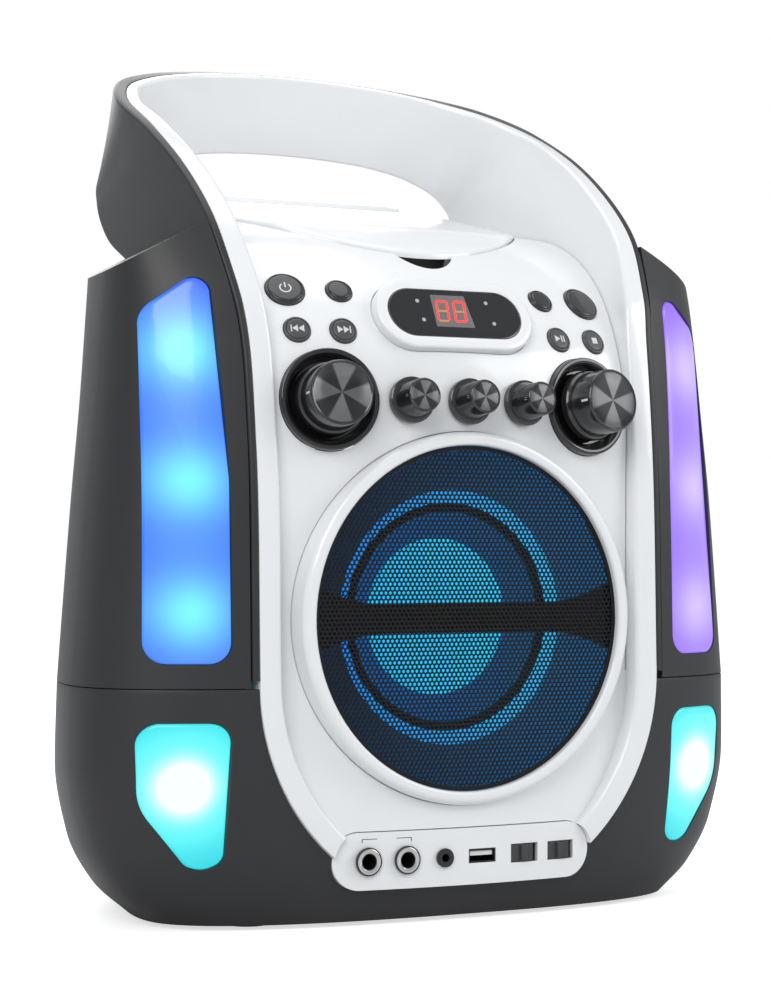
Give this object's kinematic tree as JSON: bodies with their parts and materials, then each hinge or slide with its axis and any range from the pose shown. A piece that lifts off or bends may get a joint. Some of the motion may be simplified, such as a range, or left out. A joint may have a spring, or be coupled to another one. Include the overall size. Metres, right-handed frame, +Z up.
{
  "type": "karaoke machine with disc tray",
  "caption": "Upright karaoke machine with a round speaker, jack plate, knobs, display, top-loading disc lid, light windows and an arched carrying handle.",
  "frame": {"origin": "centre of the bounding box's footprint, on the surface the machine stands on", "axes": "+X to the machine's right as seen from the front, +Y to the rear, +Z up"},
  "size_m": [0.3244, 0.226, 0.3978],
  "materials": {
    "black_plastic": "satin black moulded plastic, finely textured",
    "white_plastic": "glossy white moulded plastic",
    "gloss_black": "glossy black plastic",
    "knob_metal": "dark spun metal finish",
    "mesh": "black painted steel mesh",
    "lens_blue": "translucent blue-white window, lit from behind",
    "display_glass": "dark tinted window",
    "cone_paper": "dark paper cone with rubber surround",
    "cap_blue": "bright blue lit dust cap",
    "steel": "pressed steel",
    "chrome": "bright plated metal",
    "board": "circuit board with its parts",
    "switch_black": "dark switch caps",
    "foot_rubber": "soft rubber",
    "magnet": "ferrite magnet"
  },
  "bodies": {
    "case": {"base_shell": "black_plastic", "side_panel_left": "black_plastic", "side_panel_right": "black_plastic", "rear_cover": "black_plastic", "front_fascia": "white_plastic", "handle_inner": "white_plastic", "handle_outer": "black_plastic", "feet": "foot_rubber", "power_inlet": "black_plastic", "side_lens_left": "lens_blue", "side_lens_right": "lens_blue", "base_lens_left": "lens_blue", "base_lens_right": "lens_blue", "light_board_left": "board", "light_board_right": "board", "speaker_bezel": "white_plastic", "speaker_grille": "mesh", "grille_bar": "mesh", "speaker_basket": "steel", "speaker_cone": "cone_paper", "dust_cap": "cap_blue", "speaker_magnet": "magnet", "volume_dials": "gloss_black", "potentiometers": "steel", "display_pod": "white_plastic", "display_window": "display_glass", "display_module": "board", "control_board": "board", "jack_plate": "white_plastic", "jack_board": "board", "mic_jack_left": "chrome", "mic_jack_right": "chrome", "aux_jack": "gloss_black", "usb_port": "chrome", "disc_well": "black_plastic", "lid_hinge_pins": "steel", "sled_rails": "steel", "spindle_motor": "steel", "main_board": "board", "transformer": "steel"},
    "lid": {"disc_lid": "white_plastic"},
    "turntable": {"turntable": "gloss_black"},
    "sled": {"laser_sled": "black_plastic"},
    "power": {"power_button": "gloss_black"},
    "repeat": {"repeat_button": "gloss_black"},
    "previous": {"previous_button": "gloss_black"},
    "next": {"next_button": "gloss_black"},
    "program": {"program_button": "gloss_black"},
    "light_show": {"light_show_button": "gloss_black"},
    "play": {"play_button": "gloss_black"},
    "stop": {"stop_button": "gloss_black"},
    "mic_volume_control": {"mic_volume_knob": "knob_metal"},
    "master_volume_control": {"master_volume_knob": "knob_metal"},
    "echo_control": {"echo_knob": "knob_metal"},
    "talk_over_control": {"talk_over_knob": "knob_metal"},
    "balance_control": {"balance_knob": "knob_metal"},
    "function_switch": {"function_switch": "switch_black"},
    "light_switch": {"light_switch": "switch_black"}
  },
  "joints": [
    {"name": "lid_hinge", "type": "hinge", "parent": "case", "child": "lid", "pos_m": [0, 0.07984, 0.3274], "axis": [-1, 0, 0], "range_deg": [0, 70]},
    {"name": "turntable_spin", "type": "hinge", "parent": "case", "child": "turntable", "pos_m": [0, 0.01684, 0.308], "axis": [0, -0.2079, 0.9781], "continuous": true},
    {"name": "sled_slide", "type": "slide", "parent": "case", "child": "sled", "axis": [1, 0, 0], "range_m": [0, 0.024]},
    {"name": "power_press", "type": "slide", "parent": "case", "child": "power", "axis": [0.1589, 0.7749, -0.6118], "range_m": [0, 0.001], "stiffness_N_per_m": 500},
    {"name": "repeat_press", "type": "slide", "parent": "case", "child": "repeat", "axis": [0.108, 0.7836, -0.6118], "range_m": [0, 0.001], "stiffness_N_per_m": 500},
    {"name": "previous_press", "type": "slide", "parent": "case", "child": "previous", "axis": [0.1753, 0.8862, -0.4289], "range_m": [0, 0.001], "stiffness_N_per_m": 500},
    {"name": "next_press", "type": "slide", "parent": "case", "child": "next", "axis": [0.1273, 0.8943, -0.4289], "range_m": [0, 0.001], "stiffness_N_per_m": 500},
    {"name": "program_press", "type": "slide", "parent": "case", "child": "program", "axis": [-0.108, 0.7836, -0.6118], "range_m": [0, 0.001], "stiffness_N_per_m": 500},
    {"name": "light_show_press", "type": "slide", "parent": "case", "child": "light_show", "axis": [-0.1589, 0.7749, -0.6118], "range_m": [0, 0.001], "stiffness_N_per_m": 500},
    {"name": "play_press", "type": "slide", "parent": "case", "child": "play", "axis": [-0.1273, 0.8943, -0.4289], "range_m": [0, 0.001], "stiffness_N_per_m": 500},
    {"name": "stop_press", "type": "slide", "parent": "case", "child": "stop", "axis": [-0.1753, 0.8862, -0.4289], "range_m": [0, 0.001], "stiffness_N_per_m": 500},
    {"name": "mic_volume_turn", "type": "hinge", "parent": "case", "child": "mic_volume_control", "pos_m": [-0.0643, -0.09011, 0.2252], "axis": [-0.1623, -0.9789, 0.124], "range_deg": [-240, 60]},
    {"name": "master_volume_turn", "type": "hinge", "parent": "case", "child": "master_volume_control", "pos_m": [0.0643, -0.09011, 0.2252], "axis": [0.1623, -0.9789, 0.124], "range_deg": [-240, 60]},
    {"name": "echo_turn", "type": "hinge", "parent": "case", "child": "echo_control", "pos_m": [-0.028, -0.0944, 0.2252], "axis": [-0.0707, -0.9898, 0.124], "range_deg": [-240, 60]},
    {"name": "talk_over_turn", "type": "hinge", "parent": "case", "child": "talk_over_control", "pos_m": [0, -0.0954, 0.2252], "axis": [0, -0.9923, 0.124], "range_deg": [-240, 60]},
    {"name": "balance_turn", "type": "hinge", "parent": "case", "child": "balance_control", "pos_m": [0.028, -0.0944, 0.2252], "axis": [0.0707, -0.9898, 0.124], "range_deg": [-240, 60]},
    {"name": "function_slide", "type": "slide", "parent": "case", "child": "function_switch", "axis": [1, 0, 0], "range_m": [0, 0.0026]},
    {"name": "light_slide", "type": "slide", "parent": "case", "child": "light_switch", "axis": [1, 0, 0], "range_m": [0, 0.0026]}
  ]
}
